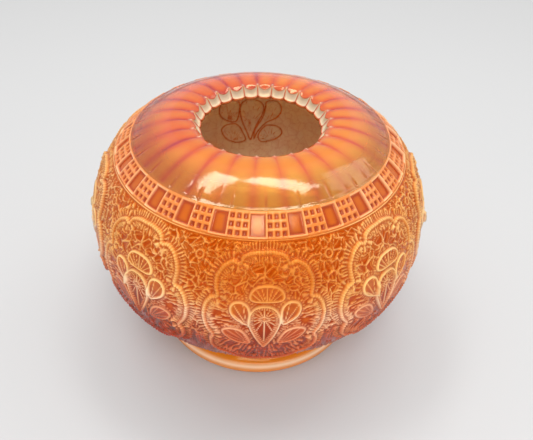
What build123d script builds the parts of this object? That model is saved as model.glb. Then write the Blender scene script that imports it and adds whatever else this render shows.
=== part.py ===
from build123d import *
import os
from math import sin, cos, radians, hypot

# Pressed glass rose bowl: one piece of glass, kept here as the named zones that the
# mould gives it. Every zone is a closed solid and meets the next one face to face.
# Frame: +Z up, origin at the centre of the circle that the foot rests on, a medallion
# faces -Y. Azimuths are in degrees from -Y towards +X.

# ---- driving dimensions (mm) ------------------------------------------------------
BODY_R = 65.0            # widest radius of the plain wall
HEIGHT = 97.7            # crown of the fluted dome
MOUTH_R = 24.9           # radius of the circle through the rim's points
LOBE_IN = 2.3            # how far each rim lobe bulges inside that circle
LIP_R = MOUTH_R - LOBE_IN - 0.3      # the wall is drawn this far in, then scalloped
N_FLUTE = 27             # flutes, rim lobes and window panels
N_MEDAL = 9              # medallions
FLUTE_PHASE = -4.87      # azimuth of one groove
PANEL_LEFT = -5.47       # azimuth of one plain panel's left edge
PANEL_WIDE = 5.90        # angular width of a plain panel
FOOT_R = 45.6            # outside of the collar foot
FOOT_IN_R = 39.4         # inside of the foot ring
FOOT_TOP_Z = 9.0         # where the collar meets the bowl
RECESS_Z = 5.2           # height of the hollow under the foot
FLOOR_Z = 12.4           # inside floor of the bowl
BASE_TOP_Z = 26.0        # base zone to wall zone
BAND_LO_Z = 86.5         # line under the window band
BAND_HI_Z = 92.7         # line over the window band
RIM_SPLIT_R = 33.0       # dome zone to rim zone
RELIEF = 1.3             # how proud the medallions stand
FLUTE_DEPTH = 0.8        # depth of a groove between flutes
PANEL_DEPTH = 0.7        # depth of a plain panel
WINDOW_DEPTH = 0.6       # depth of a small window

# Outside of the wall, from the collar up over the shoulder to the rim's points.
OUTER = [(41.4, 9.0), (45.8, 15.4), (50.6, 22.0), (56.0, 29.0), (61.6, 37.6),
         (64.7, 48.9), (65.0, 55.0), (64.4, 62.0), (62.5, 71.4), (58.3, 80.9),
         (51.2, 89.2), (41.9, 95.2), (31.8, 97.7), (MOUTH_R, 96.9), (LIP_R, 95.4)]
# Glass thickness at each of those points.
THICK = [7.0, 5.6, 5.0, 4.7, 4.5, 4.4, 4.3, 4.2, 4.2, 4.2, 4.2, 4.2, 4.4, 4.6, 4.6]


def inward(points, thick):
    """Points set in from a profile by a thickness at each point."""
    out = []
    for i, (r, z) in enumerate(points):
        r0, z0 = points[max(i - 1, 0)]
        r1, z1 = points[min(i + 1, len(points) - 1)]
        tr, tz = r1 - r0, z1 - z0
        n = hypot(tr, tz)
        out.append((r - thick[i] * tz / n, z + thick[i] * tr / n))
    return out


INNER = inward(OUTER, THICK)[2:]
INNER[-2:] = [(26.2, 92.9), (LIP_R, 91.4)]
FLOOR_R = INNER[0][0] - 7.0          # flat part of the inside floor
PROUD = inward(OUTER, [-RELIEF] * len(OUTER))[:-1]

RING = Plane.XZ                      # radius along X, height along Z
BIG = 200.0


def ring_plane(azimuth):
    """A plane whose X runs out along an azimuth and whose Y is up."""
    a = radians(azimuth)
    out = Vector(sin(a), -cos(a), 0)
    return Plane(origin=(0, 0, 0), x_dir=out, z_dir=out.cross(Vector(0, 0, 1)))


# ---- the whole wall, before it is cut into zones ----------------------------------
with BuildPart() as wall:
    with BuildSketch(RING):
        with BuildLine():
            Spline(*OUTER)
            Line(OUTER[-1], INNER[-1])
            Spline(*INNER[::-1])
            Spline(INNER[0], (FLOOR_R, FLOOR_Z), tangents=[(-0.75, -1.0), (-1, 0)])
            Line((FLOOR_R, FLOOR_Z), (0, FLOOR_Z))
            Line((0, FLOOR_Z), (0, RECESS_Z))
            Line((0, RECESS_Z), (FOOT_IN_R - 4.0, RECESS_Z))
            Line((FOOT_IN_R - 4.0, RECESS_Z), (FOOT_IN_R, FOOT_TOP_Z))
            Line((FOOT_IN_R, FOOT_TOP_Z), OUTER[0])
        make_face()
    revolve(axis=Axis.Z)
    # grooves between the flutes, from the points of the rim down to the window band
    with BuildPart(mode=Mode.PRIVATE) as groove:
        with BuildSketch(RING):
            with BuildLine():
                Polyline((21.0, 99.5), (LIP_R - 0.5, 94.6), (MOUTH_R + 1.0, 96.5),
                         (31.8, 97.7 - FLUTE_DEPTH), (37.5, 96.8 - FLUTE_DEPTH),
                         (41.9, 95.2 - FLUTE_DEPTH), (46.9, 92.75), (49.0, 99.5),
                         close=True)
            make_face()
        extrude(amount=0.75, both=True)
    with PolarLocations(0, N_FLUTE, start_angle=FLUTE_PHASE - 90.0):
        add(groove.part, mode=Mode.SUBTRACT)
    # the scalloped mouth: lobes that bulge towards the middle between sharp points
    with BuildSketch(Plane.XY.offset(80)) as mouth:
        with BuildLine():
            for k in range(N_FLUTE):
                a0 = radians(FLUTE_PHASE + k * 360.0 / N_FLUTE - 90.0)
                a1 = radians(FLUTE_PHASE + (k + 1) * 360.0 / N_FLUTE - 90.0)
                am = (a0 + a1) / 2
                ThreePointArc((MOUTH_R * cos(a0), MOUTH_R * sin(a0)),
                              ((MOUTH_R - LOBE_IN) * cos(am), (MOUTH_R - LOBE_IN) * sin(am)),
                              (MOUTH_R * cos(a1), MOUTH_R * sin(a1)))
        make_face()
    extrude(amount=30, mode=Mode.SUBTRACT)


def zone(lo, hi, r_in=0.0, r_out=BIG):
    """A plain ring that bounds one zone of the wall."""
    with BuildPart() as cutter:
        with BuildSketch(Plane.XY.offset(lo)):
            Circle(r_out)
            if r_in:
                Circle(r_in, mode=Mode.SUBTRACT)
        extrude(amount=hi - lo)
    return cutter.part


# ---- collar foot: the ring that the bowl stands on --------------------------------
with BuildPart() as collar_foot:
    with BuildSketch(RING):
        with BuildLine():
            l1 = Line((FOOT_IN_R + 1.6, 0), (FOOT_R - 1.6, 0))
            l2 = Line(l1 @ 1, (FOOT_R, 1.6))
            l3 = Line(l2 @ 1, (FOOT_R - 0.2, 5.4))
            a1 = RadiusArc(l3 @ 1, (FOOT_R - 1.9, 7.1), -1.9)
            l4 = Line(a1 @ 1, (OUTER[0][0], FOOT_TOP_Z))
            l5 = Line(l4 @ 1, (FOOT_IN_R, FOOT_TOP_Z))
            l6 = Line(l5 @ 1, (FOOT_IN_R, 1.6))
            l7 = Line(l6 @ 1, l1 @ 0)
        make_face()
    revolve(axis=Axis.Z)
collar_foot.part.label = "collar_foot"

# ---- bowl base: the floor and the lower wall --------------------------------------
with BuildPart() as bowl_base:
    add(wall.part)
    add(zone(-5, BASE_TOP_Z), mode=Mode.INTERSECT)
bowl_base.part.label = "bowl_base"

# ---- bowl wall: the round side that the medallions stand on -----------------------
with BuildPart() as bowl_wall:
    add(wall.part)
    add(zone(BASE_TOP_Z, BAND_LO_Z), mode=Mode.INTERSECT)
bowl_wall.part.label = "bowl_wall"

# ---- window band: plain panels and threes of small windows ------------------------
WINDOW_PITCH = (360.0 / N_FLUTE - PANEL_WIDE) / 3
with BuildPart() as window_band:
    add(wall.part)
    add(zone(BAND_LO_Z, BAND_HI_Z, RIM_SPLIT_R), mode=Mode.INTERSECT)
    r_mid = 51.05
    slope = Vector(-(54.2 - 47.9), BAND_HI_Z - BAND_LO_Z, 0).normalized()
    with BuildPart(mode=Mode.PRIVATE) as recesses:
        for k in range(4):
            az = (PANEL_LEFT + PANEL_WIDE / 2 if k == 3
                  else PANEL_LEFT + PANEL_WIDE + (k + 0.5) * WINDOW_PITCH)
            wide = 4.3 if k == 3 else 1.3
            deep = PANEL_DEPTH if k == 3 else WINDOW_DEPTH
            a = radians(az)
            out = Vector(sin(a), -cos(a), 0)
            side = Vector(cos(a), sin(a), 0)
            normal = out * slope.Y + Vector(0, 0, 1) * (-slope.X)
            face = Plane(origin=out * r_mid + Vector(0, 0, 89.75), x_dir=side, z_dir=normal)
            rows = [0.0] if k == 3 else [-2.6, 0.0, 2.6]
            tall = 7.0 if k == 3 else 1.8
            with BuildSketch(face.offset(-deep)):
                with Locations(*[(0, y) for y in rows]):
                    Rectangle(wide, tall)
            extrude(amount=4.0)
    with PolarLocations(0, N_FLUTE):
        add(recesses.part, mode=Mode.SUBTRACT)
window_band.part.label = "window_band"

# ---- fluted dome: the ribbed shoulder over the band -------------------------------
with BuildPart() as fluted_dome:
    add(wall.part)
    add(zone(BAND_HI_Z, 120, RIM_SPLIT_R), mode=Mode.INTERSECT)
fluted_dome.part.label = "fluted_dome"

# ---- scalloped rim: the dome's inner edge and its pointed lip ---------------------
with BuildPart() as scalloped_rim:
    add(wall.part)
    add(zone(80, 120, 0.0, RIM_SPLIT_R), mode=Mode.INTERSECT)
scalloped_rim.part.label = "scalloped_rim"

# ---- medallion relief: lobed outlines with a teardrop and fans, raised on the wall -
# Half of the outline as (x, z) on the front of the bowl, down from the top notch: each
# lobe is an arc from notch to notch through the point between them.
HALF = [(0.0, 83.2), (4.4, 84.4), (8.0, 80.4), (12.8, 78.4), (14.0, 72.4), (18.2, 63.2),
        (15.8, 54.0), (16.2, 47.4), (10.6, 43.8), (6.0, 39.6), (0.0, 39.8)]
MID_Z = 61.8
with BuildPart() as skin:
    with BuildSketch(RING):
        with BuildLine():
            Spline(*OUTER)
            Polyline(OUTER[-1], (LIP_R, 100.0), PROUD[-1])
            Spline(*PROUD[::-1])
            Line(PROUD[0], OUTER[0])
        make_face()
    revolve(axis=Axis.Z)
    add(zone(36, 86), mode=Mode.INTERSECT)

with BuildPart() as medallion_relief:
    FRONT = Plane(origin=(0, 0, 0), x_dir=(1, 0, 0), z_dir=(0, -1, 0))
    with BuildSketch(FRONT) as outline:
        for kx, kz, mode in ((1.0, 1.0, Mode.ADD), (0.9, 0.92, Mode.SUBTRACT)):
            with BuildLine():
                for i in range(0, len(HALF) - 2, 2):
                    for s in (1, -1):
                        ThreePointArc(*[(s * kx * x, MID_Z + kz * (z - MID_Z))
                                        for x, z in HALF[i:i + 3]])
            make_face(mode=mode)
    with BuildSketch(FRONT):
        # teardrop, round above and pointed below
        with BuildLine():
            ThreePointArc((-4.3, 60.5), (0, 65.2), (4.3, 60.5))
            Spline((4.3, 60.5), (2.7, 53.6), (0, 49.4))
            Spline((0, 49.4), (-2.7, 53.6), (-4.3, 60.5))
        make_face()
        # fan over the teardrop
        with BuildLine():
            ThreePointArc((-4.6, 67.4), (0, 73.6), (4.6, 67.4))
            ThreePointArc((4.6, 67.4), (0, 66.6), (-4.6, 67.4))
        make_face()
        # fans at its sides, and the drops below them
        for s in (-1, 1):
            with BuildLine():
                Polyline((s * 5.6, 66.2), (s * 9.6, 66.4), (s * 11.4, 62.8),
                         (s * 10.0, 59.2), (s * 6.2, 57.4), close=True)
            make_face()
            with BuildLine():
                Polyline((s * 5.4, 55.6), (s * 9.4, 55.0), (s * 10.6, 51.6),
                         (s * 7.0, 49.2), (s * 3.6, 50.6), close=True)
            make_face()
    extrude(amount=BIG / 2)
    add(skin.part, mode=Mode.INTERSECT)
    one = medallion_relief.part
with BuildPart() as relief_ring:
    with PolarLocations(0, N_MEDAL):
        add(one)
relief_ring.part.label = "medallion_relief"

os.makedirs("parts", exist_ok=True)
export_step(collar_foot.part, "parts/collar_foot.step")
export_step(bowl_base.part, "parts/bowl_base.step")
export_step(bowl_wall.part, "parts/bowl_wall.step")
export_step(relief_ring.part, "parts/medallion_relief.step")
export_step(window_band.part, "parts/window_band.step")
export_step(fluted_dome.part, "parts/fluted_dome.step")
export_step(scalloped_rim.part, "parts/scalloped_rim.step")

for piece in (collar_foot, bowl_base, bowl_wall, relief_ring, window_band, fluted_dome,
              scalloped_rim):
    b = piece.part.bounding_box()
    print(piece.part.label, "solids", len(piece.part.solids()),
          "volume", round(piece.part.volume, 1), "z", round(b.min.Z, 2), round(b.max.Z, 2))
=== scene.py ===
import bpy
import math
import numpy as np
from mathutils import Matrix, Vector


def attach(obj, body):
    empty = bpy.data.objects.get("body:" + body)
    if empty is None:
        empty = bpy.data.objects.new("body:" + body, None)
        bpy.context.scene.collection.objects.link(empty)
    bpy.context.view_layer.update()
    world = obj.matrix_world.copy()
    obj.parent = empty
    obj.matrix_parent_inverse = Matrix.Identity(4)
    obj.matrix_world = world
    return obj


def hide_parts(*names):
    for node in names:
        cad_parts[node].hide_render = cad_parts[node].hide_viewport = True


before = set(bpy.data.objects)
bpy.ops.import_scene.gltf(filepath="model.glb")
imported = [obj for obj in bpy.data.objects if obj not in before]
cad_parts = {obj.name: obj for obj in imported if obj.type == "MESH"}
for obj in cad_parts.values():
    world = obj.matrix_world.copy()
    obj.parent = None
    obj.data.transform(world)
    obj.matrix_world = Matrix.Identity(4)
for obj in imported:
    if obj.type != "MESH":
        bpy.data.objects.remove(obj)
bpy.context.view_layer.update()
scene = bpy.context.scene
rng = np.random.default_rng(27)

# =====================================================================================
# Profile, in mm. s runs down the outside from the rim's points, t down the inside.
# =====================================================================================
MM = 0.001
R0 = 65.0
NF, NM = 27, 9
COLS = 1080
FLUTE_PHASE, PANEL_LEFT, PANEL_WIDE = -4.87, -5.47, 5.90
OUTER = np.array([(41.4, 9.0), (45.8, 15.4), (50.6, 22.0), (56.0, 29.0), (61.6, 37.6),
                  (64.7, 48.9), (65.0, 55.0), (64.4, 62.0), (62.5, 71.4), (58.3, 80.9),
                  (51.2, 89.2), (41.9, 95.2), (31.8, 97.7), (24.9, 96.9), (22.3, 95.4)])
THICK = np.array([7.0, 5.6, 5.0, 4.7, 4.5, 4.4, 4.3, 4.2, 4.2, 4.2, 4.2, 4.2, 4.4, 4.6, 4.6])


def spline(points, n):
    """A natural cubic spline through the points, sampled evenly along its length."""
    p = np.asarray(points, float)
    k = np.concatenate([[0], np.cumsum(np.hypot(*np.diff(p, axis=0).T))])
    h = np.diff(k)
    m = len(p)
    a = np.eye(m)
    b = np.zeros((m, 2))
    for i in range(1, m - 1):
        a[i, i - 1], a[i, i], a[i, i + 1] = h[i - 1], 2 * (h[i - 1] + h[i]), h[i]
        b[i] = 6 * ((p[i + 1] - p[i]) / h[i] - (p[i] - p[i - 1]) / h[i - 1])
    c = np.linalg.solve(a, b)
    x = np.linspace(0, k[-1], 4000)
    j = np.clip(np.searchsorted(k, x) - 1, 0, m - 2)
    d = (x - k[j])[:, None]
    hj = h[j][:, None]
    q = (c[j] * (hj - d) ** 3 + c[j + 1] * d ** 3) / (6 * hj) \
        + (p[j] / hj - c[j] * hj / 6) * (hj - d) + (p[j + 1] / hj - c[j + 1] * hj / 6) * d
    s = np.concatenate([[0], np.cumsum(np.hypot(*np.diff(q, axis=0).T))])
    e = np.linspace(0, s[-1], n)
    return np.stack([np.interp(e, s, q[:, 0]), np.interp(e, s, q[:, 1])], 1), e


def inset(p, t):
    g = np.gradient(p, axis=0)
    g /= np.hypot(*g.T)[:, None]
    return p - np.stack([g[:, 1], -g[:, 0]], 1) * np.reshape(t, (-1, 1))


out_p, out_s = spline(OUTER[::-1], 3000)
tip = np.argmin(np.hypot(*(out_p - (24.9, 96.9)).T))
out_s = out_s - out_s[tip]                       # 0 at the rim's points, mm
inner = inset(OUTER, THICK)[2:]
inner[-2:] = [(26.2, 92.9), (22.3, 91.4)]
FLOOR_R = inner[0][0] - 7.0
floor_turn = [(FLOOR_R - 2.0, 12.4), (FLOOR_R + 1.6, 12.9), (FLOOR_R + 4.4, 16.8)]
in_p, in_s = spline(np.vstack([inner[::-1], floor_turn[::-1]]), 3000)


def on(p, s_all, s):
    """Point and outward normal of a profile at arc length s."""
    r = np.interp(s, s_all, p[:, 0])
    z = np.interp(s, s_all, p[:, 1])
    e = 0.15
    dr = np.interp(s + e, s_all, p[:, 0]) - np.interp(s - e, s_all, p[:, 0])
    dz = np.interp(s + e, s_all, p[:, 1]) - np.interp(s - e, s_all, p[:, 1])
    n = np.hypot(dr, dz)
    return r, z, -dz / n, dr / n


def s_at_z(z):
    half = out_p[:, 1] < 97.0
    ok = half & (out_s > 10)
    return float(np.interp(-z, -out_p[ok, 1], out_s[ok]))


# =====================================================================================
# Relief. Every pattern is a height in mm on a flat map: u = azimuth on a 65 mm circle,
# v = arc length down the wall.
# =====================================================================================
DEG = math.pi / 180 * R0                          # mm per degree at the widest radius


def closed(points, n=260):
    """A smooth closed curve (Catmull-Rom) through (degrees, s/R) points, in mm."""
    p = np.array(points, float) * (DEG, R0)
    m = len(p)
    t = np.linspace(0, m, n, endpoint=False)
    i = np.floor(t).astype(int)
    f = (t - i)[:, None]
    a, b, c, d = (p[(i + k) % m] for k in (-1, 0, 1, 2))
    return 0.5 * (2 * b + (c - a) * f + (2 * a - 5 * b + 4 * c - d) * f ** 2
                  + (3 * b - a - 3 * c + d) * f ** 3)


def opened(points, n=120):
    p = np.array(points, float) * (DEG, R0)
    return spline(p, n)[0]


def mirror(right):
    """Closes a curve given by its right half, from the top to the bottom on the axis."""
    right = list(right)
    return right + [(-x, y) for x, y in right[::-1][1:-1]] if right[0][0] == 0 else right


def distance(curve, U, V, is_closed=True):
    """Signed distance (negative inside) to a curve and the arc length of the near point."""
    a = curve
    b = np.roll(curve, -1, axis=0) if is_closed else curve[1:]
    a = a if is_closed else curve[:-1]
    ab = b - a
    L = np.hypot(*ab.T)
    cum = np.concatenate([[0], np.cumsum(L)])[:-1]
    best = np.full(U.shape, 1e9)
    arc = np.zeros(U.shape)
    inside = np.zeros(U.shape, bool)
    for k in range(len(a)):
        dx, dy = U - a[k, 0], V - a[k, 1]
        t = np.clip((dx * ab[k, 0] + dy * ab[k, 1]) / max(L[k] ** 2, 1e-9), 0, 1)
        d = np.hypot(dx - t * ab[k, 0], dy - t * ab[k, 1])
        m = d < best
        best[m] = d[m]
        arc[m] = (cum[k] + t * L[k])[m]
        if is_closed:
            cross = (a[k, 1] > V) != (b[k, 1] > V)
            xi = a[k, 0] + (V - a[k, 1]) * ab[k, 0] / (ab[k, 1] if ab[k, 1] else 1e-9)
            inside ^= cross & (U < xi)
    return np.where(inside, -best, best), arc


def bump(d, w):
    """A rounded ridge of half width w about d = 0."""
    x = np.clip(np.abs(d) / w, 0, 1)
    return 0.5 + 0.5 * np.cos(np.pi * x)


def step(x, lo, hi):
    t = np.clip((x - lo) / (hi - lo), 0, 1)
    return t * t * (3 - 2 * t)


def hash2(i, j, k):
    n = np.sin(i * 127.1 + j * 311.7 + k * 74.7) * 43758.5453
    return n - np.floor(n)


def noise(x, y, k=0):
    i, j = np.floor(x), np.floor(y)
    fx, fy = x - i, y - j
    fx, fy = fx * fx * (3 - 2 * fx), fy * fy * (3 - 2 * fy)
    a, b = hash2(i, j, k), hash2(i + 1, j, k)
    c, d = hash2(i, j + 1, k), hash2(i + 1, j + 1, k)
    return (a * (1 - fx) + b * fx) * (1 - fy) + (c * (1 - fx) + d * fx) * fy


def cells(U, V, size, k, wrap=None):
    """Leafy network: distance to the border between jittered cells, in cell units."""
    x, y = U / size, V / size
    x = x + 0.55 * (noise(x * 0.9, y * 0.9, k + 5) - 0.5)
    y = y + 0.55 * (noise(x * 0.9, y * 0.9, k + 9) - 0.5)
    i, j = np.floor(x), np.floor(y)
    f1 = np.full(U.shape, 9.0)
    f2 = np.full(U.shape, 9.0)
    vein = np.zeros(U.shape)
    for di in (-1, 0, 1):
        for dj in (-1, 0, 1):
            ci, cj = i + di, j + dj
            wi = np.mod(ci, wrap) if wrap else ci
            px = ci + 0.1 + 0.8 * hash2(wi, cj, k)
            py = cj + 0.1 + 0.8 * hash2(wi, cj, k + 1)
            ang = np.pi * hash2(wi, cj, k + 2)
            ca, sa = np.cos(ang), np.sin(ang)
            dx, dy = x - px, y - py
            e = np.hypot((dx * ca + dy * sa) * 0.72, (-dx * sa + dy * ca) * 1.3)
            v = np.abs(-dx * sa + dy * ca)
            m = e < f1
            f2 = np.where(m, f1, np.minimum(f2, e))
            vein = np.where(m, v, vein)
            f1 = np.where(m, e, f1)
    return f2 - f1, vein


def rays(U, V, x, y, n, phase=0.0, width=0.3):
    """Ridges of constant width that run out from a point."""
    dx, dy = U - x * DEG, V - y * R0
    rho = np.hypot(dx, dy)
    a = np.arctan2(dx, -dy) - phase
    w = 2 * np.pi / n
    off = (a + w / 2) % w - w / 2
    return bump(rho * np.sin(off), width), rho


OUTLINE = closed(mirror([(0, .558), (3.4, .560), (6.3, .580), (7.4, .612), (9.6, .606), (12.0, .632),
                         (13.7, .682), (13.9, .742), (13.4, .790), (15.4, .806), (17.0, .862), (17.4, .930),
                         (16.4, 1.0), (14.8, 1.05), (15.5, 1.09), (15.2, 1.145), (13.2, 1.19), (10.7, 1.205),
                         (8.6, 1.240), (5.2, 1.266), (2.0, 1.272), (0, 1.266)]), 420)
DROP = closed(mirror([(0, .828), (2.3, .838), (3.9, .872), (4.4, .918), (3.9, .968), (2.5, 1.03),
                      (1.1, 1.078), (0, 1.105)]), 220)
FAN_TOP = closed([(.7, .716), (3.4, .722), (5.2, .748), (5.6, .785), (4.2, .803), (.7, .806), (-2.8, .803),
                  (-4.2, .785), (-3.8, .748), (-2.0, .722)], 180)
FAN_L = closed([(-4.5, .945), (-4.0, .885), (-4.5, .835), (-6.3, .808), (-8.6, .814), (-9.7, .848),
                (-9.1, .893), (-7.0, .928)], 160)
LEAF_L = closed([(-4.0, 1.088), (-5.2, 1.02), (-7.6, .985), (-10.6, .985), (-12.0, 1.01), (-10.4, 1.055),
                 (-7.2, 1.088)], 160)
flip = np.array([-1.0, 1.0])
FAN_R = FAN_L * flip + (0.6 * DEG, 0)
LEAF_R = LEAF_L * flip


def medallion(U, V):
    """Height and cream mask of one medallion, on its own map."""
    d, arc = distance(OUTLINE, U, V)
    h = np.zeros(U.shape)
    c = np.zeros(U.shape)
    inside = step(-d, -0.4, 0.6)
    h += 0.55 * step(-d, -1.4, 0.4)
    # the outline: a broad raised cord, with fine hairs square to it
    wob = 0.25 * (noise(arc * 0.5, d * 0.3, 3) - 0.5)
    hair = 0.5 + 0.5 * np.cos(2 * np.pi * (arc / 0.98 + 0.8 * (noise(arc * 0.35, 0 * arc, 4) - 0.5)))
    hair = hair ** 1.6
    cord = bump(d + wob, 1.30)
    h += 0.95 * cord * (0.66 + 0.34 * hair)
    c = np.maximum(c, cord ** 1.4 * (0.48 + 0.48 * hair))
    fringe = hair * (step(np.abs(d), 0.7, 1.3) * (1 - step(np.abs(d), 2.5, 3.6)))
    fringe *= 0.6 + 0.6 * noise(arc * 0.8, d * 0.2, 8)
    h += 0.50 * fringe
    c = np.maximum(c, 0.85 * fringe)
    # which parts inside stay clear for the motifs
    dd, darc = distance(DROP, U, V)
    motifs = [(FAN_TOP, (.7, .822), 22, 0.0), (FAN_L, (-4.9, .945), 18, 0.2), (FAN_R, (5.5, .945), 18, 0.2),
              (LEAF_L, (-4.2, 1.09), 26, 0.1), (LEAF_R, (4.2, 1.09), 26, 0.1)]
    near = dd.copy()
    sd = []
    for m in motifs:
        q, qa = distance(m[0], U, V)
        sd.append((q, qa))
        near = np.minimum(near, q)
    field = step(near, 0.2, 0.9) * step(-d, 1.0, 1.8)
    # leafy network above, broken hairs that point to the middle at the sides and below
    rho = np.hypot(U, V - .93 * R0)
    ang = np.arctan2(U, V - .93 * R0)
    e, vein = cells(U, V, 2.9, 11)
    net = bump(e, 0.17) + 0.35 * bump(vein, 0.10)
    up = step(-(V / R0), -.86, -.76)
    n_h = noise(ang * 23, rho * 0.42, 21) - 0.5
    dash = bump(((ang * 16 / math.pi * 2 + 0.9 * n_h) % 1) - 0.5, 0.36)
    dash *= step(noise(ang * 13, rho * 0.55, 22), 0.30, 0.55)
    side = np.clip(dash, 0, 1) * (1 - up)
    h += field * (0.50 * net * up + 0.42 * side)
    c = np.maximum(c, field * np.clip(0.75 * net * up + 0.62 * side, 0, 1))
    # the teardrop: a cord with beads inside it, and rays from a small boss
    bead = (0.5 + 0.5 * np.cos(2 * np.pi * darc / 0.92)) ** 1.2
    h += 0.35 * step(-dd, -0.6, 0.2)
    ring = bump(dd, 0.62)
    h += 0.75 * ring
    teeth = bead * step(-dd, 0.35, 0.7) * (1 - step(-dd, 1.2, 1.7))
    h += 0.45 * teeth
    ry, rr = rays(U, V, 0, .906, 14, 0.0, 0.26)
    ry *= step(-dd, 1.3, 1.8) * step(rr, 0.5, 0.9)
    boss = bump(rr, 0.75)
    h += 0.42 * ry + 0.35 * boss
    c = np.maximum.reduce([c, ring * 0.9, teeth * 0.65, ry * 0.8, boss * 0.4])
    # fans and leaves: a rim, ribs from the apex, a lightly domed face
    for (q, qa), (_, apex, n, ph) in zip(sd, motifs):
        low = 0.62 if n == 26 else 1.0
        h += low * 0.45 * step(-q, -0.5, 1.0)
        rim = bump(q + 0.15, 0.72)
        rb, ra = rays(U, V, apex[0], apex[1], n, ph, 0.24)
        rb *= step(-q, 0.3, 0.8) * step(ra, 0.8, 1.4)
        tick = (0.5 + 0.5 * np.cos(2 * np.pi * qa / 0.85)) * bump(q - 1.0, 0.8)
        tick *= step(ra, 2.5, 4.0)
        h += low * (0.62 * rim + 0.36 * rb) + 0.22 * tick
        c = np.maximum.reduce([c, low * rim * 0.95, low * rb * 0.8, low * 0.5 * tick,
                               low * 0.08 * step(-q, 0.2, 0.8)])
    return h, c, d


def interior_motif(U, V):
    """Line work of one flower on the inside of the wall."""
    c = np.zeros(U.shape)
    fill = np.zeros(U.shape)
    for pts in ([(0, .705), (4, .735), (5.6, .80), (4.8, .88), (2.4, .97), (.7, 1.06), (-.6, 1.12), (-2.4, 1.04),
                 (-4.6, .93), (-5.6, .84), (-5.2, .76), (-3, .715)],
                [(-6.2, .74), (-10, .70), (-14.5, .72), (-15.6, .80), (-14.8, .87), (-11.5, .92), (-7.6, .935), (-6.1, .86)],
                [(7, .73), (11, .71), (13.6, .76), (13.8, .83), (11.5, .90), (7, .95), (3, 1.04), (1.2, 1.11),
                 (1.8, 1.02), (5.2, .90), (6.4, .80)],
                [(-14.4, 1.01), (-12.5, .965), (-8.5, .955), (-6.0, .985), (-4.2, 1.05), (-3, 1.12), (-7, 1.14), (-12, 1.10)],
                [(6.5, .985), (10.5, .975), (13.4, .995), (14.4, 1.05), (11, 1.11), (5, 1.14), (3.2, 1.08)]):
        k = closed(pts, 160)
        q, _ = distance(k, U, V)
        c = np.maximum(c, bump(q, 0.78))
        mid = k.mean(0)
        ry, rr = rays(U, V, mid[0] / DEG, (mid[1] + 5) / R0, 22, 0.1, 0.3)
        fill = np.maximum(fill, ry * step(-q, 0.5, 1.2) * step(noise(U * .8, V * .5, 31), .45, .7))
    return c, fill


def soft(h, n=3):
    """Blurs a map, wrapping round the bowl."""
    for _ in range(2):
        g = sum(np.roll(h, k, axis=1) for k in range(-n, n + 1)) / (2 * n + 1)
        pad = np.pad(g, ((n, n), (0, 0)), mode="edge")
        h = sum(pad[k:k + len(h)] for k in range(2 * n + 1)) / (2 * n + 1)
    return h


def cavity_shade(h, gain, n=3):
    """Painted shade: 1 in the hollows beside raised lines, 0 on open ground and on the lines."""
    return np.clip((soft(h, n) - h) * gain, 0, 1)


# =====================================================================================
# Height maps of the zones
# =====================================================================================
AZ = np.arange(COLS) * 360.0 / COLS                       # degrees from -Y towards +X


def cusp(az):
    """-1..1 across one flute: 0 in its middle, +-1 at the grooves on either side."""
    return 2 * (((az - FLUTE_PHASE) * NF / 360.0) % 1.0) - 1


def flute_shape(az, s):
    """Grooves between the rounded flutes of the dome, in mm below the plain profile."""
    x = np.abs(cusp(az))
    round_ = 0.75 * (1 - np.sqrt(np.clip(1 - 0.92 * x ** 2, 0, 1))) / (1 - math.sqrt(0.08))
    depth = (0.03 + 0.50 * (1 - step(s, 2.0, 9.5)) + 0.14 * step(s, 16.5, 21.5)) * step(s, -1.5, 3.0)
    return -depth * round_


def panel_edge(az):
    """Second groove of each flute, which starts at the plain panel's other edge."""
    x = ((az - PANEL_LEFT - PANEL_WIDE + 6.667) % (360.0 / NF)) - 6.667
    return x


def rows(a, b, pitch):
    n = max(2, int(math.ceil(abs(b - a) / pitch)) + 1)
    return np.linspace(a, b, n)


def revolve_grid(p, s_all, s, h, dip=None):
    """Points of a displaced surface: rows s, columns AZ, height h outward along the normal."""
    r, z, nr, nz = on(p, s_all, s)
    rr = r[:, None] + h * nr[:, None]
    zz = z[:, None] + h * nz[:, None]
    if dip is not None:
        zz = zz + dip
    a = np.radians(AZ)[None, :]
    return np.stack([rr * np.sin(a), -rr * np.cos(a), zz], -1)


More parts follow.
